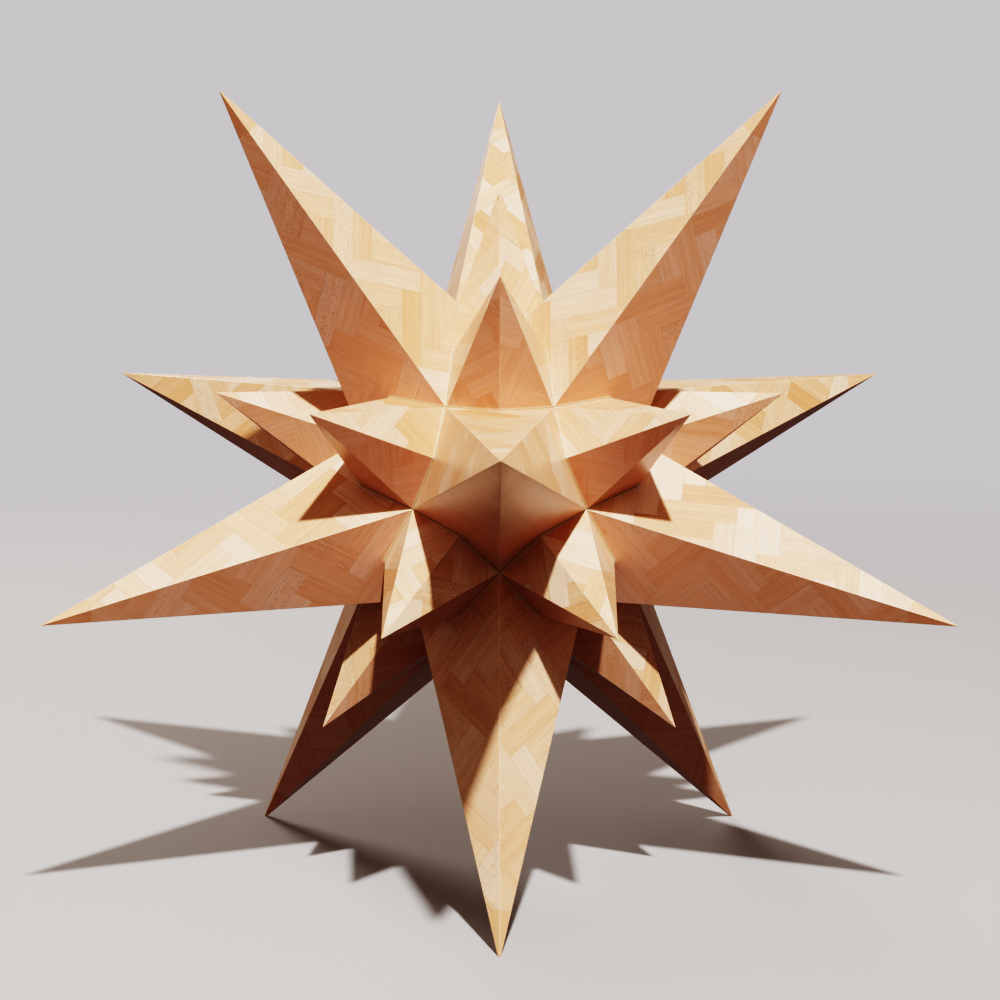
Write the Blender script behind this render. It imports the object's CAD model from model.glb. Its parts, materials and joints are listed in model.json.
import json
import math

import bpy
import numpy as np
from bpy.props import FloatProperty, FloatVectorProperty, IntProperty, PointerProperty, StringProperty
from mathutils import Matrix, Vector

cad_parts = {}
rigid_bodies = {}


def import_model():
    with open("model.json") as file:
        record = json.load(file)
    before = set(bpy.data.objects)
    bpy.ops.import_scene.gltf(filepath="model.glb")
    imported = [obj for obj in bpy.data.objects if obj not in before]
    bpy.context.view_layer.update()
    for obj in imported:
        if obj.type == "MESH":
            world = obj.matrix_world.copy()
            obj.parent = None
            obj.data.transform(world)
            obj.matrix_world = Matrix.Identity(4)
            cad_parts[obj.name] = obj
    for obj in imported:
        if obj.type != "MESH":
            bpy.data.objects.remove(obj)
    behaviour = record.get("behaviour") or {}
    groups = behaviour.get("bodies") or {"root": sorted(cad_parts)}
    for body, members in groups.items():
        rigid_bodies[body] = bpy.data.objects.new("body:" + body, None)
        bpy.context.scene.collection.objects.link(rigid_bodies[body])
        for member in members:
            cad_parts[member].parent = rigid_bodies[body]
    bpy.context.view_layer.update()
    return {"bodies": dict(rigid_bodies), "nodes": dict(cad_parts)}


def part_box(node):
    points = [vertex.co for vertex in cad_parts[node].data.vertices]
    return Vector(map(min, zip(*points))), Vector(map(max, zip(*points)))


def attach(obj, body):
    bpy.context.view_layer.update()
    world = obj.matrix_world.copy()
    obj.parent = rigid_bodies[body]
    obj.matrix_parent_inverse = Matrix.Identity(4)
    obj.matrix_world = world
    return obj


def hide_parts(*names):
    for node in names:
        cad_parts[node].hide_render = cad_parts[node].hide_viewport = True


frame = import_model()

bl_info = {
    "name": "Wooden star",
    "version": (1, 0, 0),
    "blender": (4, 5, 0),
    "location": "3D View > Sidebar > Star",
    "description": "Builds the panelled spikes, solid tips, woods and studio of a large wooden star",
    "category": "Object",
}

ROOT_BODY = "star"

# Angles between neighbouring axes of an icosahedron, measured at its centre
GOLDEN = (1 + math.sqrt(5)) / 2
VALLEY_FROM_SPIKE = math.atan(1 / GOLDEN)
VALLEY_FROM_POINT = math.atan(1 / GOLDEN ** 2)
POINT_FROM_SPIKE = math.atan(2 / GOLDEN ** 2)
NEIGHBOUR_COSINE = 1 / math.sqrt(5)
COSINE_SLACK = 0.01

# The star stands on three long spikes, so a short spike points straight up
STEEP = POINT_FROM_SPIKE
SHALLOW = math.pi - POINT_FROM_SPIKE - 2 * VALLEY_FROM_SPIKE
SIXTH = math.pi / 3

# How far off a ridge, in faces round the spike, a line on its arc is taken to stand
HAIR = 1e-6

# Long spikes: name, angle from straight up, sixths of a turn round from the front
LONG_SPIKES = (
    ("front_spike", SHALLOW, 0),
    ("rear_right_spike", SHALLOW, 2),
    ("rear_left_spike", SHALLOW, 4),
    ("upper_right_spike", STEEP, 1),
    ("upper_rear_spike", STEEP, 3),
    ("upper_left_spike", STEEP, 5),
    ("side_right_spike", math.pi - SHALLOW, 1),
    ("rear_spike", math.pi - SHALLOW, 3),
    ("side_left_spike", math.pi - SHALLOW, 5),
    ("front_leg", math.pi - STEEP, 0),
    ("rear_right_leg", math.pi - STEEP, 2),
    ("rear_left_leg", math.pi - STEEP, 4),
)

# Short spikes: name and the three long spikes that stand round each one
SHORT_SPIKES = (
    ("top_point", 3, 4, 5),
    ("upper_front_point", 0, 3, 5),
    ("upper_rear_right_point", 1, 3, 4),
    ("upper_rear_left_point", 2, 4, 5),
    ("front_right_point", 0, 3, 6),
    ("front_left_point", 0, 5, 8),
    ("right_point", 1, 3, 6),
    ("left_point", 2, 5, 8),
    ("rear_right_point", 1, 4, 7),
    ("rear_left_point", 2, 4, 7),
    ("lower_front_right_point", 0, 6, 9),
    ("lower_front_left_point", 0, 8, 9),
    ("lower_right_point", 1, 6, 10),
    ("lower_left_point", 2, 8, 11),
    ("lower_rear_right_point", 1, 7, 10),
    ("lower_rear_left_point", 2, 7, 11),
    ("under_right_point", 6, 9, 10),
    ("under_left_point", 8, 9, 11),
    ("under_rear_point", 7, 10, 11),
    ("bottom_point", 9, 10, 11),
)


def length(name, description, default):
    """A size in metres."""
    return FloatProperty(name=name, description=description, default=default, unit="LENGTH", precision=4)


def amount(name, description, default, **kind):
    """A number, an angle or a power."""
    return FloatProperty(name=name, description=description, default=default, **kind)


def colour(name, description, default):
    """A colour in linear light."""
    return FloatVectorProperty(name=name, description=description, default=default, subtype="COLOR",
                               size=3, min=0, max=1)


class StarSizes(bpy.types.PropertyGroup):
    """Sizes of the star's woodwork."""
    spike_reach: length("Long spike", "Centre of the star to the point of a long spike", 1.1)
    point_reach: length("Short spike", "Centre of the star to the point of a short spike", 0.67)
    valley_reach: length("Valley point", "Centre of the star to where two long spikes meet", 0.368)
    leg_trim: length("Leg trim", "Length sawn off the point of each leg", 0.013)
    tip_blunt: length("Blunt tip", "Length taken off the sharp end of the other long spikes", 0.002)
    spike_panel: length("Long panel", "Thickness of the long spikes' panels", 0.018)
    point_panel: length("Short panel", "Thickness of the short spikes' panels", 0.015)
    tip_heel: length("Tip heel", "Panel wood between the end of the hollow and the solid tip", 0.012)
    seam_gap: length("Seam", "Open joint between neighbouring spikes", 0.0006)
    glue_line: length("Glue line", "Glue line on each side of a joint inside one spike", 0.0001)
    arris: length("Ridge radius", "Radius sanded onto the ridges", 0.0016)
    seam_arris: length("Seam chamfer", "Chamfer along the edges that meet at the seams", 0.0004)
    worn_width: length("Worn edge", "Width of the pale, rubbed edge along the seams", 0.003)
    point_blunt: length("Blunt point", "Length sanded off the sharp end of a short spike", 0.0016)


class StaveSizes(bpy.types.PropertyGroup):
    """Sizes of the herringbone staves that the panels are glued up from."""
    stave_width: length("Stave width", "Width of one stave", 0.0475)
    stave_length: length("Stave length", "Length of one stave", 0.168)
    joint_width: length("Joint", "Width of the glue joint seen between two staves", 0.0005)
    layout_seed: IntProperty(name="Layout", description="Seed that lays panels on their boards", default=11)


class WoodColours(bpy.types.PropertyGroup):
    """Colours of the woods and their finish."""
    cream: colour("Cream", "Palest staves", (0.88, 0.575, 0.385))
    straw: colour("Straw", "Usual staves", (0.82, 0.445, 0.245))
    tan: colour("Tan", "Darker staves", (0.72, 0.325, 0.145))
    russet: colour("Russet", "Darkest staves", (0.62, 0.25, 0.10))
    fleck: colour("Fleck", "Ray flecks and pores", (0.30, 0.135, 0.055))
    worn: colour("Worn edge", "Rubbed edges and ridges", (0.90, 0.70, 0.47))
    underside: colour("Underside tint", "Darkens the wood of panels that face down", (0.80, 0.64, 0.70))
    raw: colour("Raw beech", "Sawn edges and the inside of the panels", (0.66, 0.45, 0.27))
    plywood: colour("Plywood", "Plates of the core", (0.70, 0.53, 0.34))
    zinc: colour("Zinc", "Plating on the screws", (0.62, 0.63, 0.62))


class StudioSettings(bpy.types.PropertyGroup):
    """Camera, lights and floor."""
    eye_height: length("Eye height", "Camera above the floor", 1.61)
    camera_distance: length("Distance", "Camera in front of the star's upright axis", 5.068)
    camera_side: length("Side step", "Camera to the left of the star's upright axis", 0.0103)
    tilt: amount("Tilt", "Camera tilted down", 0.15176, subtype="ANGLE")
    turn: amount("Turn", "Camera turned right", 0.00234, subtype="ANGLE")
    roll: amount("Roll", "Camera rolled", 0.0014, subtype="ANGLE")
    lens: amount("Lens", "Focal length on a 36 mm wide sensor, in millimetres", 81.75)
    key_place: FloatVectorProperty(name="Key light", description="Key light from the star's centre",
                                   default=(1.27, -6.86, 10.26), subtype="XYZ", unit="LENGTH")
    key_power: amount("Key power", "Power of the key light", 2700, unit="POWER")
    key_size: length("Key size", "Diameter of the key light", 0.45)
    fill_place: FloatVectorProperty(name="Rear fill", description="Rear fill light from the star's centre",
                                    default=(-3.2, 6.0, 3.4), subtype="XYZ", unit="LENGTH")
    fill_power: amount("Fill power", "Power of the rear fill light", 260, unit="POWER")
    fill_size: length("Fill size", "Diameter of the rear fill light", 3.0)
    floor: colour("Floor", "Pale floor", (0.40, 0.385, 0.385))
    floor_fade: length("Floor fade", "Radius at which the floor starts to fade into the backdrop", 2.2)
    floor_end: length("Floor end", "Radius at which the floor is gone", 7.0)
    backdrop: colour("Backdrop", "Pale backdrop behind the star", (0.60, 0.57, 0.61))
    ambient: colour("Ambient", "Soft light from above that fills the shadows", (0.29, 0.235, 0.205))
    ambient_low: colour("Low ambient", "Soft light from below that fills the shadows", (0.095, 0.084, 0.084))
    film: StringProperty(name="Film", description="How light is turned into picture colours",
                         default="Filmic")
    contrast: StringProperty(name="Contrast", description="Contrast of the picture",
                             default="Very High Contrast")
    exposure: amount("Exposure", "Stops of exposure", 0.12)
    gamma: amount("Gamma", "Gamma after the film: below one deepens the shades", 0.79)


# ---------------------------------------------------------------- geometry of the star

def unit(v):
    """A vector, or each row of an array, scaled to length one."""
    v = np.asarray(v, dtype=float)
    return v / np.linalg.norm(v, axis=-1, keepdims=True)


def direction(polar, sixths):
    """Unit vector at an angle from straight up, turned from the front (-Y) towards +X."""
    azimuth = sixths * SIXTH
    across = math.sin(polar)
    return np.array((math.sin(azimuth) * across, -math.cos(azimuth) * across, math.cos(polar)))


SPIKE_AXES = np.array([direction(polar, sixths) for _, polar, sixths in LONG_SPIKES])
POINT_AXES = unit([SPIKE_AXES[list(p[1:])].sum(axis=0) for p in SHORT_SPIKES])


def spike_turn(n):
    """Rotation whose columns are the axes of a long spike's own frame: +Z out, +X to its first valley."""
    axis = SPIKE_AXES[n]
    neighbour = SPIKE_AXES[np.argmax(np.abs(SPIKE_AXES @ axis - NEIGHBOUR_COSINE) < COSINE_SLACK)]
    side = unit(neighbour - (neighbour @ axis) * axis)
    return np.stack((side, np.cross(axis, side), axis), axis=1)


def point_turn(n):
    """Rotation whose columns are the axes of a short spike's own frame: +Z out, +X to its first valley."""
    axis = POINT_AXES[n]
    away = -SPIKE_AXES[SHORT_SPIKES[n][1]]
    side = unit(away - (away @ axis) * axis)
    return np.stack((side, np.cross(axis, side), axis), axis=1)


def star_centre():
    """The middle of the core's box, which is symmetric about the star's centre."""
    low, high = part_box("core_plates")
    return np.array((0.0, 0.0, (low[2] + high[2]) / 2))


def off_axis(reach, angle):
    """Radius and height of a point at a reach from the centre, at an angle from the axis."""
    return reach * math.sin(angle), reach * math.cos(angle)


def notch(sizes):
    """Offset and height, in a short spike's frame, of the corner where its ridge meets a long spike's face.

    The ridge drops by the same slope as the ridge to a valley. It meets the line down the middle of the
    long spike's face, r = (reach - z) / face_slope, in the plane through both spikes' axes.
    """
    radius, height = off_axis(sizes.valley_reach, VALLEY_FROM_POINT)
    ridge_slope = (sizes.point_reach - height) / radius
    radius, height = off_axis(sizes.valley_reach, VALLEY_FROM_SPIKE)
    face_slope = (sizes.spike_reach - height) / (radius * math.cos(math.pi / 5))
    lean = math.cos(POINT_FROM_SPIKE) + face_slope * math.sin(POINT_FROM_SPIKE)
    across = math.sin(POINT_FROM_SPIKE) - face_slope * math.cos(POINT_FROM_SPIKE)
    offset = (sizes.spike_reach - lean * sizes.point_reach) / (across - ridge_slope * lean)
    return offset, sizes.point_reach - ridge_slope * offset


def ring(count, radius, height):
    """Points evenly round the axis, the first on +X: (r cos a, r sin a, z)."""
    a = np.arange(count) * (2 * math.pi / count)
    return np.stack((radius * np.cos(a), radius * np.sin(a), np.full(count, height)), axis=1)


class Pyramid:
    """A spike in its own frame: an apex on +Z, ridges to corners, and seam planes through the centre."""

    def __init__(self, reach, ridge_ends, outline):
        self.apex = np.array((0.0, 0.0, reach))
        self.ends = ridge_ends
        self.count = len(ridge_ends)
        self.normals = unit(np.cross(ridge_ends - self.apex, np.roll(ridge_ends, -1, axis=0) - self.apex))
        self.seams = unit(np.cross(np.roll(outline, -1, axis=0), outline))
        self.right = unit(np.cross((0.0, 0.0, 1.0), self.normals))
        self.down = np.cross(self.right, self.normals)

    def drop(self, inset):
        """How far the apex sinks when every face moves in by this much."""
        return inset / self.normals[0, 2]

    def lines(self, radius, arc_steps, face_steps, inset=0.0):
        """Straight lines down the pyramid's rounded skin, as (starts, slopes).

        Along a ridge a ball of the radius touches both faces. Its centre is the ridge moved in by
        radius (n1 + n2) / (1 + n1.n2), and the arc's point at turn s is the centre plus radius times the
        normal turned from n1 to n2. The lines on a face divide it evenly between two arcs. A line is
        start + t slope, where every start has the apex's height and every slope falls by one, so lines
        can be mixed point by point. A face's lines follow its left ridge's arc.
        """
        before = np.roll(self.normals, 1, axis=0)
        after = self.normals
        turn = np.arccos((before * after).sum(axis=1))[:, None, None]
        s = np.linspace(0, 1, arc_steps + 1)[None, :, None]
        turned = (np.sin((1 - s) * turn) * before[:, None] + np.sin(s * turn) * after[:, None]) / np.sin(turn)
        middle = (before + after) / (1 + (before * after).sum(axis=1, keepdims=True))
        offset = radius * (turned - middle[:, None])
        fall = self.ends - self.apex
        slope = (fall / -fall[:, 2:])[:, None] + np.zeros_like(offset)
        start = self.apex + offset + slope * offset[..., 2:]
        f = np.linspace(0, 1, face_steps + 1)[None, 1:-1, None]
        next_start, next_slope = np.roll(start[:, :1], -1, axis=0), np.roll(slope[:, :1], -1, axis=0)
        start = np.concatenate((start, start[:, -1:] * (1 - f) + next_start * f), axis=1).reshape(-1, 3)
        slope = np.concatenate((slope, slope[:, -1:] * (1 - f) + next_slope * f), axis=1).reshape(-1, 3)
        return start - (0, 0, self.drop(inset)), slope

    def turns(self, arc_steps, face_steps):
        """For each line, how many faces round it stands, a hair off the ridge on the arcs."""
        s = (np.linspace(0, 1, arc_steps + 1) - 0.5) * HAIR
        f = np.linspace(0, 1, face_steps + 1)[1:-1]
        return (np.arange(self.count)[:, None] + np.concatenate((s, f))).ravel()

    def faces_between(self, arc_steps, face_steps):
        """For each pair of neighbouring lines, the face that the strip between them belongs to."""
        strip = np.repeat((-1, 0), (arc_steps // 2, arc_steps // 2 + face_steps))
        return ((np.arange(self.count)[:, None] + strip) % self.count).ravel()

    def seam_normals(self, turns):
        """The seam plane that each line runs down to."""
        per_face = len(self.seams) // self.count
        return self.seams[np.floor(turns * per_face).astype(int) % len(self.seams)]


def cut(lines, normals, distance):
    """Where lines meet planes: start + slope (d - n.start) / (n.slope)."""
    start, slope = lines
    normals = np.broadcast_to(normals, start.shape)
    t = (distance - (normals * start).sum(axis=1)) / (normals * slope).sum(axis=1)
    return start + slope * t[:, None]


def level(z):
    """The level plane at a height in a spike's own frame, as (normal, distance)."""
    return np.array((0.0, 0.0, 1.0)), z


def blend_rows(first, last, steps):
    """Rows from one ring of points to another, evenly spaced, both ends included."""
    t = np.linspace(0, 1, steps + 1)[:, None, None]
    return first * (1 - t) + last * t


def sheet_quads(rows, columns, closed):
    """Quads of a grid whose columns wrap round, and whose rows do too if it is closed."""
    last = rows if closed else rows - 1
    r, c = np.meshgrid(np.arange(last), np.arange(columns), indexing="ij")
    below, beside = (r + 1) % rows, (c + 1) % columns
    quads = np.stack((r * columns + c, below * columns + c,
                      below * columns + beside, r * columns + beside), axis=-1)
    return quads.reshape(-1, 4), r.ravel(), c.ravel()


def fan(centre, first, columns, upward):
    """Triangles from a centre point to the row of points that starts at index first."""
    c = np.arange(columns)
    here, beside = first + c, first + (c + 1) % columns
    middle = np.full(columns, centre)
    return np.stack((middle, here, beside) if upward else (middle, beside, here), axis=1)


def capped_grid(rows, first_end, last_end, strips):
    """A grid whose first and last rows are closed by fans to two end points.

    Gives the points, the faces, which of the spike's faces each belongs to, and each quad's row.
    """
    count, columns = rows.shape[:2]
    points = np.concatenate((rows.reshape(-1, 3), [first_end], [last_end]))
    quads, r, c = sheet_quads(count, columns, closed=False)
    faces = [quads, fan(count * columns, 0, columns, True),
             fan(count * columns + 1, (count - 1) * columns, columns, False)]
    return points, faces, [strips[c], strips, strips], r


# ---------------------------------------------------------------- making the pieces

# Steps round a ridge and across a face, and rows down the skin and up the lining
ARC_STEPS = 4
FACE_STEPS = 12
POINT_FACE_STEPS = 8
SKIN_ROWS = 14
LINING_ROWS = 4

# Radius of the lining's ridges and of a short spike's point, and the stub left above its hollow
INNER_RADIUS = 0.0005
POINT_RADIUS = 0.0005
LINING_END = 0.004

# Ridge radius at the end of a solid tip, and how far its rim is eased: under a leg, and on the others
LEG_END = (0.0007, 0.0005)
FREE_END = (0.0001, 0.0002)
END_RING = 0.8
RIDGE_WEAR = 0.5

# Boards lie at 45 degrees to the spike, or a little off it, and start anywhere in this many metres
BOARD_TURN = math.pi / 4
BOARD_LEANS = (-0.1, 0.0, 0.0, 0.05, 0.12)
BOARD_SHIFT = 2

# Upper panels of the side spikes whose boards lie at another angle: which face, and the added turn
TURNED_BOARDS = {"side_right_spike": ((4, -0.4),), "side_left_spike": ((0, -0.48),)}

# Contrast between staves by kind of spike, then on an upright face, its gain as faces look up, and least
SPIKE_CONTRAST = 1.0
LEG_CONTRAST = 0.5
POINT_CONTRAST = 0.8
UPRIGHT_CONTRAST = 0.72
CONTRAST_RISE = 0.95
LEAST_CONTRAST = 0.28

# Underside tint on an upright face, and its loss as faces look up
UPRIGHT_TINT = 0.35
TINT_FALL = 1.5

# The level way in which the sheen changes sides
SHEEN_WAY = (0.7, 0.1)


class Layout:
    """How each panel's board was laid on the herringbone: turned, and shifted along and across."""

    def __init__(self, seed):
        self.random = np.random.default_rng(seed)

    def cut_boards(self, normals, most):
        """Turn, shift, tone, sheen, contrast and underside tint of some panels, by the way they face.

        The tint and low contrast of panels that face down, and the side of the sheen, are painted in by
        the face's direction. They stand in for shade and gloss under the stage's light, and turn with
        the star, so they aren't the wood's own colour.
        """
        count = len(normals)
        lean = self.random.choice(BOARD_LEANS, size=count)
        shift = self.random.uniform(-BOARD_SHIFT, BOARD_SHIFT, size=(count, 2))
        tone = self.random.uniform(0, 1, size=count)
        across = normals[:, 0] * SHEEN_WAY[0] + normals[:, 1] * SHEEN_WAY[1]
        contrast = most * np.clip(UPRIGHT_CONTRAST + CONTRAST_RISE * normals[:, 2], LEAST_CONTRAST, 1.0)
        underside = np.clip(UPRIGHT_TINT - TINT_FALL * normals[:, 2], 0.0, 1.0)
        return {"turn": BOARD_TURN + lean, "shift": shift, "tone": tone,
                "sheen": np.where(across > 0, -contrast, contrast),
                "contrast": contrast, "underside": underside}


def add_piece(name, shape, turn, pyramid, boards, materials):
    """Makes the mesh object: a shape placed in the star, with the boards' layout as its UVs.

    The shape is its points, groups of faces, the spike's face that each is on, material slots and wear.
    A corner's UV is its distance across and down its own flat face, in metres, turned and shifted by that
    panel's place on the board.
    """
    points, faces, face_of, slots, wear = shape
    placed = points @ turn.T + star_centre()
    mesh = bpy.data.meshes.new(name)
    mesh.from_pydata(placed.tolist(), [], [f for group in faces for f in group.tolist()])
    corner_points = np.concatenate([group.ravel() for group in faces])
    corner_face = np.concatenate([np.repeat(f, g.shape[1]) for f, g in zip(face_of, faces)])
    arm = points[corner_points] - pyramid.apex
    across = (arm * pyramid.right[corner_face]).sum(axis=1)
    down = (arm * pyramid.down[corner_face]).sum(axis=1)
    angle = np.broadcast_to(boards["turn"], pyramid.count)[corner_face]
    shift = boards["shift"][corner_face]
    uv = np.stack((across * np.cos(angle) - down * np.sin(angle),
                   across * np.sin(angle) + down * np.cos(angle)), axis=1)
    layer = mesh.uv_layers.new(name="board")
    layer.data.foreach_set("uv", (uv + shift).astype(np.float32).ravel())
    face_index = np.concatenate(face_of)
    for key in ("tone", "sheen", "contrast", "underside"):
        values = boards[key][face_index].astype(np.float32)
        mesh.attributes.new(key, "FLOAT", "FACE").data.foreach_set("value", values)
    mesh.attributes.new("wear", "FLOAT", "POINT").data.foreach_set("value", wear.astype(np.float32))
    mesh.polygons.foreach_set("material_index", np.concatenate(slots).astype(np.int32))
    for material in materials:
        mesh.materials.append(material)
    mesh.validate()
    mesh.update()
    piece = bpy.data.objects.new(name, mesh)
    bpy.context.scene.collection.objects.link(piece)
    return piece


def spike_pyramid(sizes):
    """A long spike: five ridges to the valley points, and ten seam planes along a star-shaped outline."""
    offset, height = notch(sizes)
    reach = math.hypot(offset, height)
    polar = POINT_FROM_SPIKE - math.atan(offset / height)
    valleys = ring(5, *off_axis(sizes.valley_reach, VALLEY_FROM_SPIKE))
    notches = ring(10, *off_axis(reach, polar))[1::2]
    outline = np.stack((valleys, notches), axis=1).reshape(-1, 3)
    return Pyramid(sizes.spike_reach, valleys, outline)


def point_pyramid(sizes):
    """A short spike: six ridges, by turns to valley points and to corners on the long spikes."""
    offset, height = notch(sizes)
    valleys = ring(3, *off_axis(sizes.valley_reach, VALLEY_FROM_POINT))
    notches = ring(6, offset, height)[1::2]
    outline = np.stack((valleys, notches), axis=1).reshape(-1, 3)
    return Pyramid(sizes.point_reach, outline, outline)


def tip_joint(sizes, pyramid):
    """Height of the straight joint between a long spike's panels and its solid tip."""
    return sizes.spike_reach - pyramid.drop(sizes.spike_panel) - sizes.tip_heel


def worn_skin(pyramid, face_steps, rows, skin_rows):
    """How worn the skin is: one along the seams' edge, half on the rounded ridges, nought elsewhere."""
    s = np.zeros(ARC_STEPS + face_steps)
    s[1:ARC_STEPS] = RIDGE_WEAR
    columns = np.tile(s, pyramid.count)
    wear = np.zeros((rows, len(columns)))
    wear[:skin_rows] = columns
    wear[skin_rows - 1:skin_rows + 1] = 1.0
    return wear.ravel()


def shell_rows(sizes, pyramid, face_steps, thickness, top_outer, top_inner):
    """Rows of points down the skin, over the chamfered seam edge and up the lining."""
    turns = pyramid.turns(ARC_STEPS, face_steps)
    seam = pyramid.seam_normals(turns)
    half_gap = sizes.seam_gap / 2
    skin = pyramid.lines(sizes.arris, ARC_STEPS, face_steps)
    eased = pyramid.lines(sizes.arris, ARC_STEPS, face_steps, sizes.seam_arris)
    lining = pyramid.lines(INNER_RADIUS, ARC_STEPS, face_steps, thickness)
    edge = cut(skin, seam, -half_gap - sizes.seam_arris)
    worn = cut(skin, seam, -half_gap - sizes.seam_arris - sizes.worn_width)
    down = np.concatenate((blend_rows(top_outer, worn, SKIN_ROWS - 1), edge[None]))
    bevel = cut(eased, seam, -half_gap)[None]
    up = blend_rows(cut(lining, seam, -half_gap), top_inner, LINING_ROWS)
    return np.concatenate((down, bevel, up))


def long_shell(sizes, pyramid):
    """Glued-up shell of a long spike's five panels, open where the solid tip goes on."""
    joint = level(tip_joint(sizes, pyramid))
    outer = cut(pyramid.lines(sizes.arris, ARC_STEPS, FACE_STEPS), *joint)
    inner = cut(pyramid.lines(INNER_RADIUS, ARC_STEPS, FACE_STEPS, sizes.spike_panel), *joint)
    rows = shell_rows(sizes, pyramid, FACE_STEPS, sizes.spike_panel, outer, inner)
    quads, r, c = sheet_quads(*rows.shape[:2], closed=True)
    face_of = pyramid.faces_between(ARC_STEPS, FACE_STEPS)[c]
    wear = worn_skin(pyramid, FACE_STEPS, rows.shape[0], SKIN_ROWS + 1)
    return rows.reshape(-1, 3), [quads], [face_of], [(r >= SKIN_ROWS).astype(int)], wear


def short_shell(sizes, pyramid):
    """Closed shell of a short spike's six panels, rounded a little at its point."""
    outer_top = sizes.point_reach - sizes.point_blunt
    inner_top = sizes.point_reach - pyramid.drop(sizes.point_panel) - LINING_END
    outer = cut(pyramid.lines(POINT_RADIUS, ARC_STEPS, POINT_FACE_STEPS), *level(outer_top))
    inner_lines = pyramid.lines(INNER_RADIUS, ARC_STEPS, POINT_FACE_STEPS, sizes.point_panel)
    inner = cut(inner_lines, *level(inner_top))
    rows = shell_rows(sizes, pyramid, POINT_FACE_STEPS, sizes.point_panel, outer, inner)
    strips = pyramid.faces_between(ARC_STEPS, POINT_FACE_STEPS)
    points, faces, face_of, r = capped_grid(rows, (0, 0, outer_top + POINT_RADIUS),
                                            (0, 0, inner_top + POINT_RADIUS), strips)
    slots = [(r >= SKIN_ROWS).astype(int), np.zeros(len(strips), int), np.ones(len(strips), int)]
    wear = np.append(worn_skin(pyramid, POINT_FACE_STEPS, len(rows), SKIN_ROWS + 1), (1.0, 0.0))
    return points, faces, face_of, slots, wear


def solid_tip(sizes, pyramid, end, end_radius, rim):
    """Solid tip of a long spike, from the glue joint out to an end plane, with its rim eased.

    Rows run from a small ring inside the end face, over the rim, and down to the joint. The ridges'
    radius shrinks towards the end, because the tip does.
    """
    normal, distance = end
    lines = pyramid.lines(end_radius, ARC_STEPS, FACE_STEPS)
    rim_ring = cut(lines, normal, distance - rim)
    middle = cut((np.zeros((1, 3)), np.array(((0.0, 0.0, 1.0),))), normal, distance)[0]
    end_ring = middle + (cut(lines, normal, distance) - middle) * END_RING
    heel = tip_joint(sizes, pyramid) + sizes.glue_line
    joint = cut(pyramid.lines(sizes.arris, ARC_STEPS, FACE_STEPS), *level(heel))
    rows = np.concatenate((end_ring[None], blend_rows(rim_ring, joint, SKIN_ROWS)))
    strips = pyramid.faces_between(ARC_STEPS, FACE_STEPS)
    points, faces, face_of, _ = capped_grid(rows, middle, (0.0, 0.0, heel), strips)
    slots = [np.zeros(len(group), int) for group in faces]
    wear = worn_skin(pyramid, FACE_STEPS, len(rows) - 1, len(rows) + 1)
    wear = np.append(wear, np.zeros(len(strips) + 2))
    return points, faces, face_of, slots, wear


# ---------------------------------------------------------------- woods

# Repeats per metre along and across the grain of beech
STREAKS = (11.0, 260.0)
FIGURE = (3.2, 58.0)
SMALL_FLECKS = (150.0, 480.0)
FLECK_CLUMPS = (26.0, 60.0)
LARGE_FLECKS = (110.0, 300.0)

# Repeats per metre along each axis of the sawn woods, and of the cloud on the zinc
PANEL_GRAIN = (40, 40, 220)
BLOCK_GRAIN = (60, 60, 260)
PLYWOOD_GRAIN = (24, 90, 90)
ZINC_CLOUDS = 160.0

# Steps that set the panels' staves, and one stave's grain and the next, apart
PANEL_STEP = 91.0
STAVE_STEP = 37.0

# Roughness of the lacquered wood, its gain with the streaks, and roughness of the coat
WOOD_ROUGHNESS = 0.34
STREAK_ROUGHNESS = 0.2
COAT_ROUGHNESS = 0.3


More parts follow.
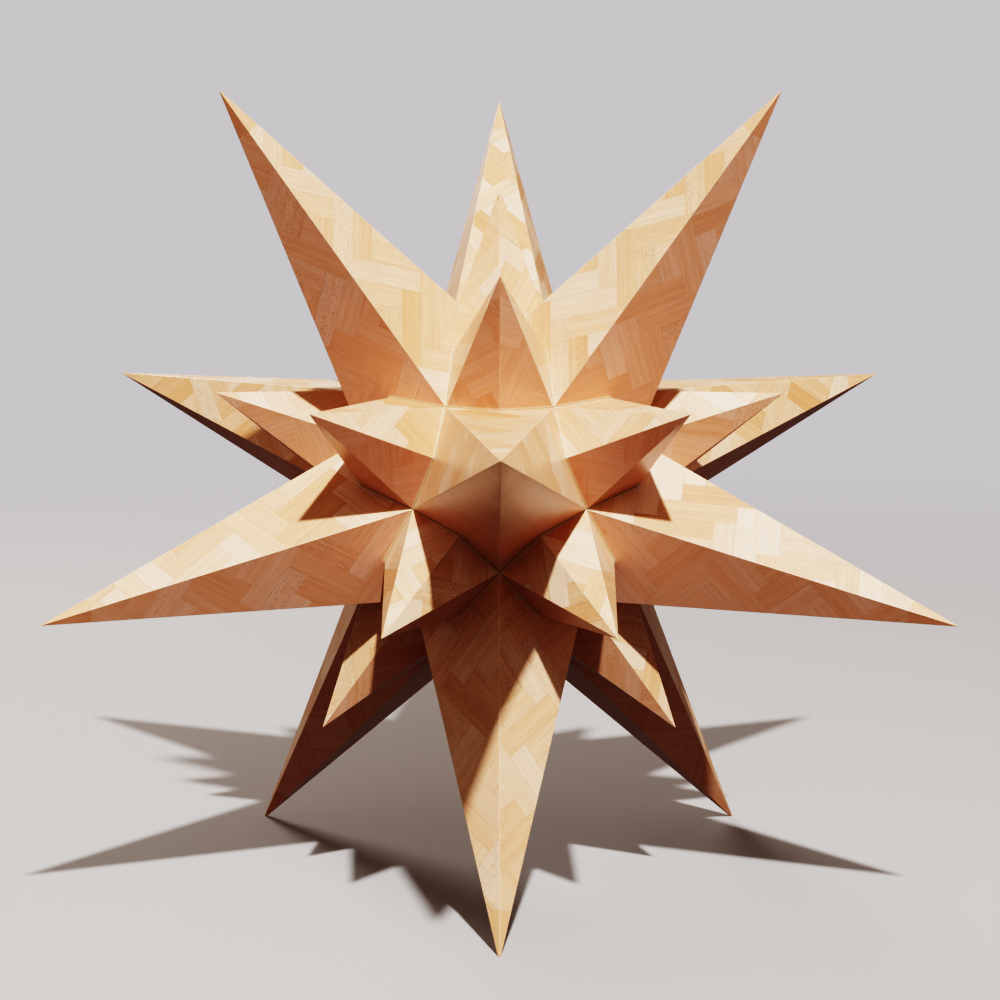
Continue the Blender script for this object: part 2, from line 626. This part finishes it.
class Recipe:
    """Short hand for the nodes of one material, or of the backdrop."""

    def __init__(self, owner):
        owner.use_nodes = True
        self.owner = owner
        self.tree = owner.node_tree
        self.shader = self.tree.nodes.get("Principled BSDF")

    def plug(self, socket, value):
        """Links a socket to another, or sets its value."""
        if isinstance(value, bpy.types.NodeSocket):
            self.tree.links.new(value, socket)
        else:
            socket.default_value = value

    def node(self, kind, inputs=(), **settings):
        """A node with settings, and with inputs given as pairs of name or number and value."""
        made = self.tree.nodes.new(kind)
        for key, value in settings.items():
            setattr(made, key, value)
        for key, value in inputs:
            self.plug(made.inputs[key], value)
        return made

    def math(self, operation, *values):
        """One Math node."""
        return self.node("ShaderNodeMath", list(enumerate(values)), operation=operation).outputs[0]

    def plus(self, a, b):
        """Two numbers added."""
        return self.math("ADD", a, b)

    def minus(self, a, b):
        """One number less another."""
        return self.math("SUBTRACT", a, b)

    def times(self, a, b):
        """Two numbers multiplied."""
        return self.math("MULTIPLY", a, b)

    def lift(self, a, b, c):
        """The first times the second, plus the third."""
        return self.math("MULTIPLY_ADD", a, b, c)

    def vector(self, x, y, z):
        """Three numbers made a vector."""
        return self.node("ShaderNodeCombineXYZ", ((0, x), (1, y), (2, z))).outputs[0]

    def fade(self, value, low, high, to_low=0.0, to_high=1.0):
        """A number carried smoothly from one range to another, and held at its ends."""
        made = self.node("ShaderNodeMapRange", (("Value", value), ("From Min", low), ("From Max", high),
                                                ("To Min", to_low), ("To Max", to_high)),
                         interpolation_type="SMOOTHSTEP")
        return made.outputs[0]

    def mix(self, factor, a, b, blend="MIX"):
        """Two colours mixed."""
        made = self.node("ShaderNodeMix", (("Factor", factor),), data_type="RGBA", blend_type=blend)
        for key, value in ((6, a), (7, b)):
            self.plug(made.inputs[key], value if isinstance(value, bpy.types.NodeSocket) else (*value, 1.0))
        return made.outputs[2]

    def pick(self, switch, when_off, when_on):
        """One of two numbers, by a switch that is nought or one."""
        inputs = (("Factor", switch), (2, when_off), (3, when_on))
        return self.node("ShaderNodeMix", inputs, data_type="FLOAT").outputs[0]

    def streaked(self, colour, streaks, depth):
        """A colour made lighter and darker by streaks."""
        shade = self.lift(self.minus(streaks, 0.5), depth, 1.0)
        return self.mix(1.0, colour, self.vector(shade, shade, shade), "MULTIPLY")

    def noise(self, vector, scale, detail=2.0, roughness=0.5, distortion=0.0):
        """Soft noise between nought and one."""
        made = self.node("ShaderNodeTexNoise", (("Vector", vector), ("Scale", scale), ("Detail", detail),
                                                ("Roughness", roughness), ("Distortion", distortion)))
        return made.outputs["Fac"]

    def specks(self, vector):
        """Distance to the nearest of many scattered dots."""
        made = self.node("ShaderNodeTexVoronoi", (("Vector", vector), ("Scale", 1.0)), feature="F1")
        return made.outputs["Distance"]

    def attribute(self, name):
        """A number stored on the mesh."""
        return self.node("ShaderNodeAttribute", attribute_name=name).outputs["Fac"]

    def board(self):
        """Distances across and along the board, from the UVs."""
        uv = self.node("ShaderNodeUVMap", uv_map="board").outputs[0]
        return self.node("ShaderNodeSeparateXYZ", ((0, uv),)).outputs[:2]

    def place(self):
        """The point in the star."""
        return self.node("ShaderNodeTexCoord").outputs["Object"]

    def finish(self, colour, roughness, height, bump_depth, bump_strength, coat=0.0, coat_roughness=0.2):
        """Colour, gloss and relief onto the shader."""
        bump = self.node("ShaderNodeBump", (("Height", height), ("Distance", bump_depth),
                                            ("Strength", bump_strength)))
        self.plug(self.shader.inputs["Base Color"], colour)
        self.plug(self.shader.inputs["Roughness"], roughness)
        self.plug(self.shader.inputs["Normal"], bump.outputs[0])
        self.shader.inputs["Coat Weight"].default_value = coat
        self.shader.inputs["Coat Roughness"].default_value = coat_roughness
        return self.owner


def herringbone(recipe, u, v, width, long):
    """Distances along and across the stave at (u, v), a vector that names the stave, and its direction.

    Level staves fill [0, long] x [0, width], repeated by (width, width) and (long, -long). Upright ones
    fill the gaps: [long, long + width] x [width - long, width], repeated the same way. The band number
    counts the (long, -long) steps, and the row or column counts the (width, width) steps.
    """
    diagonal = recipe.plus(recipe.minus(u, v), width)
    band = recipe.math("FLOOR", recipe.math("DIVIDE", diagonal, 2 * long))
    shift = recipe.times(band, long)
    level_u, level_v = recipe.minus(u, shift), recipe.plus(v, shift)
    row = recipe.math("FLOOR", recipe.math("DIVIDE", level_v, width))
    row_start = recipe.times(row, width)
    level_along = recipe.minus(level_u, row_start)
    level_across = recipe.minus(level_v, row_start)
    before = recipe.math("LESS_THAN", level_along, 0.0)
    past = recipe.math("GREATER_THAN", level_along, long)
    upright = recipe.math("MAXIMUM", before, past)
    upright_band = recipe.minus(band, before)
    shift = recipe.times(upright_band, long)
    upright_u = recipe.minus(recipe.minus(u, shift), long)
    column = recipe.math("FLOOR", recipe.math("DIVIDE", upright_u, width))
    column_start = recipe.times(column, width)
    upright_across = recipe.minus(upright_u, column_start)
    upright_v = recipe.plus(recipe.plus(v, shift), long - width)
    upright_along = recipe.minus(upright_v, column_start)
    along = recipe.pick(upright, level_along, upright_along)
    across = recipe.pick(upright, level_across, upright_across)
    panel = recipe.times(recipe.attribute("tone"), PANEL_STEP)
    stave = recipe.vector(recipe.pick(upright, band, upright_band), recipe.pick(upright, row, column),
                          recipe.lift(upright, 0.5, panel))
    return along, across, stave, upright


def beech_figure(recipe, along, across, number):
    """Fine streaks, growth figure, and small and large ray flecks of beech, each between nought and one."""
    depth = recipe.times(number, STAVE_STEP)

    def stretched(repeats):
        return recipe.vector(recipe.times(along, repeats[0]), recipe.times(across, repeats[1]), depth)

    streaks = recipe.noise(stretched(STREAKS), 1.0, 6.0, 0.7)
    figure = recipe.noise(stretched(FIGURE), 1.0, 3.0, 0.55, 0.9)
    clumps = recipe.noise(stretched(FLECK_CLUMPS), 1.0, 2.0)
    small = recipe.fade(recipe.specks(stretched(SMALL_FLECKS)), 0.40, 0.18)
    fine = recipe.times(small, recipe.fade(clumps, 0.40, 0.60))
    spots = recipe.fade(recipe.specks(stretched(LARGE_FLECKS)), 0.34, 0.20)
    return streaks, figure, fine, spots


def stave_beech(name, colours, staves):
    """Lacquered beech staves in a herringbone, read from the board UVs."""
    recipe = Recipe(bpy.data.materials.new(name))
    width, long = staves.stave_width, staves.stave_length
    along, across, stave, upright = herringbone(recipe, *recipe.board(), width, long)
    chance = recipe.node("ShaderNodeTexWhiteNoise", (("Vector", stave),), noise_dimensions="3D")
    lots = recipe.node("ShaderNodeSeparateColor", ((0, chance.outputs["Color"]),)).outputs
    streaks, figure, fine, spots = beech_figure(recipe, along, across, chance.outputs["Value"])
    contrast = recipe.attribute("contrast")

    # Staves that lie one way are made paler than those that lie across them, in place of a gloss
    way = recipe.lift(upright, 2.0, -1.0)
    sheen = recipe.times(recipe.attribute("sheen"), way)
    spread = recipe.times(recipe.minus(lots[0], 0.5), recipe.times(contrast, 0.85))
    tone = recipe.plus(recipe.lift(sheen, 0.20, 0.42), spread)
    tone = recipe.lift(recipe.minus(figure, 0.5), 0.7, tone)
    light = recipe.mix(recipe.fade(tone, 0.0, 0.55), colours.cream, colours.straw)
    dark = recipe.mix(recipe.fade(lots[1], 0.55, 1.0), colours.tan, colours.russet)
    wood = recipe.mix(recipe.fade(tone, 0.35, 1.15), light, dark)
    wood = recipe.mix(recipe.attribute("underside"), wood, colours.underside, "MULTIPLY")
    wood = recipe.streaked(wood, streaks, recipe.lift(contrast, 0.4, 0.38))

    # Every stave has fine flecks, and the few that are cut across the rays have large ones
    flecked = recipe.times(fine, recipe.fade(lots[2], 0.2, 0.9, 0.22, 0.6))
    speckled = recipe.times(spots, recipe.fade(lots[2], 0.80, 0.90, 0.0, 0.5))
    wood = recipe.mix(flecked, wood, colours.fleck)
    wood = recipe.mix(speckled, wood, colours.fleck)

    # Glue joints round each stave, and wear along the edges
    near_side = recipe.math("MINIMUM", across, recipe.minus(width, across))
    near_end = recipe.math("MINIMUM", along, recipe.minus(long, along))
    edge = recipe.math("MINIMUM", near_side, near_end)
    joint = recipe.fade(edge, staves.joint_width, staves.joint_width / 4)
    wood = recipe.mix(recipe.times(joint, 0.38), wood, colours.fleck)
    wood = recipe.mix(recipe.times(recipe.attribute("wear"), 0.8), wood, colours.worn)
    pits = recipe.times(recipe.math("MAXIMUM", fine, speckled), 0.6)
    dips = recipe.math("MAXIMUM", pits, joint)
    relief = recipe.minus(recipe.lift(streaks, 0.7, 0.3), dips)
    gloss = recipe.lift(streaks, STREAK_ROUGHNESS, WOOD_ROUGHNESS)
    return recipe.finish(wood, gloss, relief, 0.0006, 0.6, 0.6, COAT_ROUGHNESS)


def tip_beech(name, colours):
    """Solid lacquered beech whose grain runs out along the spike, read from the board UVs."""
    recipe = Recipe(bpy.data.materials.new(name))
    across, along = recipe.board()
    lot = recipe.attribute("tone")
    streaks, figure, fine, spots = beech_figure(recipe, along, across, lot)
    tone = recipe.lift(lot, 0.5, recipe.times(figure, 0.6))
    wood = recipe.mix(recipe.fade(tone, 0.2, 1.2), colours.straw, colours.tan)
    wood = recipe.mix(recipe.attribute("underside"), wood, colours.underside, "MULTIPLY")
    wood = recipe.streaked(wood, streaks, 0.8)
    flecked = recipe.times(recipe.math("MAXIMUM", fine, recipe.times(spots, 0.4)), 0.4)
    wood = recipe.mix(flecked, wood, colours.fleck)
    wood = recipe.mix(recipe.times(recipe.attribute("wear"), 0.5), wood, colours.worn)
    relief = recipe.minus(streaks, recipe.times(fine, 0.6))
    gloss = recipe.lift(streaks, STREAK_ROUGHNESS, WOOD_ROUGHNESS)
    return recipe.finish(wood, gloss, relief, 0.0004, 0.45, 0.45, COAT_ROUGHNESS)


def raw_wood(name, tint, colours, grain):
    """Unlacquered wood on Object coordinates: long streaks along one axis and scattered pores."""
    recipe = Recipe(bpy.data.materials.new(name))
    mapped = recipe.node("ShaderNodeMapping", (("Vector", recipe.place()), ("Scale", grain))).outputs[0]
    streaks = recipe.noise(mapped, 1.0, 4.0, 0.6)
    figure = recipe.noise(mapped, 0.16, 2.0, 0.5, 0.6)
    wood = recipe.mix(recipe.fade(figure, 0.3, 0.75), tint, [c * 0.8 for c in tint])
    wood = recipe.streaked(wood, streaks, 0.4)
    pores = recipe.fade(recipe.noise(mapped, 3.1, 1.0), 0.66, 0.74, 0.0, 0.35)
    wood = recipe.mix(pores, wood, colours.fleck)
    gloss = recipe.lift(streaks, 0.15, 0.6)
    return recipe.finish(wood, gloss, streaks, 0.0003, 0.3)


def zinc_plate(name, colours):
    """Bright zinc plating with a faint cloudiness."""
    recipe = Recipe(bpy.data.materials.new(name))
    clouds = recipe.noise(recipe.place(), ZINC_CLOUDS, 3.0)
    metal = recipe.mix(clouds, colours.zinc, [c * 0.82 for c in colours.zinc])
    recipe.shader.inputs["Metallic"].default_value = 1.0
    return recipe.finish(metal, recipe.lift(clouds, 0.2, 0.24), clouds, 0.0001, 0.15)


def once(name, make, *values):
    """A material made the first time it is asked for."""
    return bpy.data.materials.get(name) or make(name, *values)


def panel_materials(scene):
    """Lacquered staves for the skin, and sawn beech for the edges and the lining."""
    colours = scene.star_colours
    return (once("Stave beech", stave_beech, colours, scene.star_staves),
            once("Raw beech", raw_wood, colours.raw, colours, PANEL_GRAIN))


def body_of(spike):
    """The body a long spike rides: its own if it pulls out, or the star's if it is a leg."""
    return spike if spike in frame["bodies"] else ROOT_BODY


def repaint(node_name, material):
    """Gives a CAD node a better material."""
    mesh = frame["nodes"][node_name].data
    mesh.materials.clear()
    mesh.materials.append(material)


# ---------------------------------------------------------------- operators

class STAR_OT_long_spikes(bpy.types.Operator):
    """Builds the glued shells of the long spikes' panels"""
    bl_idname = "star.long_spikes"
    bl_label = "Long spikes"

    def execute(self, context):
        scene = context.scene
        sizes = scene.star_sizes
        pyramid = spike_pyramid(sizes)
        materials = panel_materials(scene)
        layout = Layout(scene.star_staves.layout_seed)
        shape = long_shell(sizes, pyramid)
        for n, (name, _, _) in enumerate(LONG_SPIKES):
            turn = spike_turn(n)
            most = LEG_CONTRAST if name.endswith("_leg") else SPIKE_CONTRAST
            boards = layout.cut_boards(pyramid.normals @ turn.T, most)
            for face, lean in TURNED_BOARDS.get(name, ()):
                boards["turn"][face] = BOARD_TURN + lean
            piece = add_piece(name + "_boards", shape, turn, pyramid, boards, materials)
            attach(piece, body_of(name))
            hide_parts(name + "_panels")
        return {"FINISHED"}


class STAR_OT_spike_tips(bpy.types.Operator):
    """Builds the solid tips of the long spikes, cut off level under the legs"""
    bl_idname = "star.spike_tips"
    bl_label = "Spike tips"

    def execute(self, context):
        scene = context.scene
        sizes = scene.star_sizes
        pyramid = spike_pyramid(sizes)
        material = once("Tip beech", tip_beech, scene.star_colours)
        layout = Layout(scene.star_staves.layout_seed + 1)
        for n, (name, _, _) in enumerate(LONG_SPIKES):
            turn = spike_turn(n)
            if name.endswith("_leg"):
                floor = turn.T @ np.array((0.0, 0.0, -1.0)), star_centre()[2]
                shape = solid_tip(sizes, pyramid, floor, *LEG_END)
            else:
                shape = solid_tip(sizes, pyramid, level(sizes.spike_reach - sizes.tip_blunt), *FREE_END)
            boards = layout.cut_boards(pyramid.normals @ turn.T, SPIKE_CONTRAST)
            boards["turn"] = np.zeros(pyramid.count)
            boards["tone"] = np.full(pyramid.count, boards["tone"][0])
            piece = add_piece(name + "_solid_tip", shape, turn, pyramid, boards, (material,))
            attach(piece, body_of(name))
            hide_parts(name + "_tip")
        return {"FINISHED"}


class STAR_OT_short_spikes(bpy.types.Operator):
    """Builds the glued shells of the short spikes"""
    bl_idname = "star.short_spikes"
    bl_label = "Short spikes"

    def execute(self, context):
        scene = context.scene
        sizes = scene.star_sizes
        pyramid = point_pyramid(sizes)
        materials = panel_materials(scene)
        layout = Layout(scene.star_staves.layout_seed + 2)
        shape = short_shell(sizes, pyramid)
        for n, (name, *_) in enumerate(SHORT_SPIKES):
            turn = point_turn(n)
            boards = layout.cut_boards(pyramid.normals @ turn.T, POINT_CONTRAST)
            piece = add_piece(name + "_boards", shape, turn, pyramid, boards, materials)
            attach(piece, ROOT_BODY)
            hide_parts(name)
        return {"FINISHED"}


class STAR_OT_core(bpy.types.Operator):
    """Gives the core, the spigots, the blocks and the screws their materials"""
    bl_idname = "star.core"
    bl_label = "Core"

    def execute(self, context):
        colours = context.scene.star_colours
        block = once("Block beech", raw_wood, colours.raw, colours, BLOCK_GRAIN)
        plywood = once("Birch plywood", raw_wood, colours.plywood, colours, PLYWOOD_GRAIN)
        for name, _, _ in LONG_SPIKES:
            repaint(name + "_base", block)
        repaint("socket_rings", block)
        repaint("short_spike_blocks", block)
        repaint("core_plates", plywood)
        repaint("core_screws", once("Zinc plate", zinc_plate, colours))
        return {"FINISHED"}


FLOOR_SIDES = 96
SENSOR_WIDTH = 36.0
KEY_TINT = (1.0, 1.0, 0.98)
FILL_TINT = (1.0, 0.92, 0.84)

# Height of a direction, up or down, at which the soft light has wholly turned from low to high
HAZE = 0.5


def add_light(name, place, aim, power, size, tint):
    """A round area light at a place, turned towards another."""
    light = bpy.data.lights.new(name, "AREA")
    light.shape = "DISK"
    light.size = size
    light.energy = power
    light.color = tint
    lamp = bpy.data.objects.new(name, light)
    lamp.location = place
    lamp.rotation_euler = (Vector(aim) - Vector(place)).to_track_quat("-Z", "Y").to_euler()
    bpy.context.scene.collection.objects.link(lamp)


def add_floor(studio):
    """A round pale floor that fades out into the backdrop: whole up to one radius, gone at another.

    It takes shadows, but its own pale light is kept off the star.
    """
    reach = studio.floor_end
    mesh = bpy.data.meshes.new("floor")
    mesh.from_pydata(ring(FLOOR_SIDES, reach, 0.0).tolist(), [], [list(range(FLOOR_SIDES))])
    floor = bpy.data.objects.new("floor", mesh)
    bpy.context.scene.collection.objects.link(floor)
    recipe = Recipe(bpy.data.materials.new("Pale floor"))
    place = recipe.place()
    mottle = recipe.noise(place, 1.7, 3.0)
    tint = recipe.mix(mottle, studio.floor, [c * 0.97 for c in studio.floor])
    distance = recipe.node("ShaderNodeVectorMath", ((0, place),), operation="LENGTH").outputs["Value"]
    shown = recipe.fade(distance, studio.floor_fade, reach, 1.0, 0.0)
    recipe.plug(recipe.shader.inputs["Alpha"], shown)
    recipe.finish(tint, 0.8, mottle, 0.001, 0.05)
    mesh.materials.append(recipe.owner)
    floor.visible_diffuse = False
    floor.visible_glossy = False


def add_backdrop(studio):
    """A pale backdrop for the eye, and a dimmer, warmer one for light, which fills the shadows."""
    world = bpy.data.worlds.new("backdrop")
    recipe = Recipe(world)
    seen = recipe.tree.nodes["Background"]
    seen.inputs["Color"].default_value = (*studio.backdrop, 1.0)
    way = recipe.node("ShaderNodeTexCoord").outputs["Generated"]
    height = recipe.node("ShaderNodeSeparateXYZ", ((0, way),)).outputs[2]
    tint = recipe.mix(recipe.fade(height, -HAZE, HAZE), studio.ambient_low, studio.ambient)
    filling = recipe.node("ShaderNodeBackground", (("Color", tint),)).outputs[0]
    by_eye = recipe.node("ShaderNodeLightPath").outputs["Is Camera Ray"]
    inputs = (("Fac", by_eye), (1, filling), (2, seen.outputs[0]))
    either = recipe.node("ShaderNodeMixShader", inputs).outputs[0]
    recipe.plug(recipe.tree.nodes["World Output"].inputs["Surface"], either)
    bpy.context.scene.world = world


class STAR_OT_stage(bpy.types.Operator):
    """Lays the pale floor and sets the lights, the picture's film and the camera"""
    bl_idname = "star.stage"
    bl_label = "Studio"

    def execute(self, context):
        scene = context.scene
        studio = scene.star_studio
        centre = Vector(star_centre())
        add_floor(studio)
        add_backdrop(studio)
        key = centre + Vector(studio.key_place)
        add_light("key", key, centre, studio.key_power, studio.key_size, KEY_TINT)
        fill = centre + Vector(studio.fill_place)
        add_light("rear_fill", fill, centre, studio.fill_power, studio.fill_size, FILL_TINT)
        scene.view_settings.view_transform = studio.film
        scene.view_settings.look = studio.contrast
        scene.view_settings.exposure = studio.exposure
        scene.view_settings.gamma = studio.gamma

        camera = bpy.data.cameras.new("camera")
        camera.sensor_width = SENSOR_WIDTH
        camera.lens = studio.lens
        eye = bpy.data.objects.new("camera", camera)
        eye.location = (-studio.camera_side, -studio.camera_distance, studio.eye_height)
        aim = Matrix.Rotation(-studio.turn, 4, "Z") @ Matrix.Rotation(math.pi / 2 - studio.tilt, 4, "X")
        eye.rotation_euler = (aim @ Matrix.Rotation(studio.roll, 4, "Z")).to_euler()
        scene.collection.objects.link(eye)
        scene.camera = eye
        return {"FINISHED"}


class VIEW3D_PT_star(bpy.types.Panel):
    """Lists the star's sizes and steps"""
    bl_label = "Wooden star"
    bl_idname = "VIEW3D_PT_star"
    bl_space_type = "VIEW_3D"
    bl_region_type = "UI"
    bl_category = "Star"

    def draw(self, context):
        for group in (context.scene.star_sizes, context.scene.star_staves, context.scene.star_colours,
                      context.scene.star_studio):
            for key in group.__annotations__:
                self.layout.prop(group, key)
        for step in STEPS:
            self.layout.operator(step.bl_idname)


STEPS = (STAR_OT_stage, STAR_OT_long_spikes, STAR_OT_spike_tips, STAR_OT_short_spikes, STAR_OT_core)
GROUPS = (("star_sizes", StarSizes), ("star_staves", StaveSizes), ("star_colours", WoodColours),
          ("star_studio", StudioSettings))


def register():
    """Registers the settings, the operators and the panel."""
    for name, group in GROUPS:
        bpy.utils.register_class(group)
        setattr(bpy.types.Scene, name, PointerProperty(type=group))
    for step in STEPS + (VIEW3D_PT_star,):
        bpy.utils.register_class(step)


def unregister():
    """Takes them away again."""
    for step in reversed(STEPS + (VIEW3D_PT_star,)):
        bpy.utils.unregister_class(step)
    for name, group in reversed(GROUPS):
        delattr(bpy.types.Scene, name)
        bpy.utils.unregister_class(group)


def main():
    """Builds everything, in order."""
    register()
    bpy.ops.star.stage()
    bpy.ops.star.long_spikes()
    bpy.ops.star.spike_tips()
    bpy.ops.star.short_spikes()
    bpy.ops.star.core()
    bpy.context.view_layer.update()


if __name__ == "__main__":
    main()
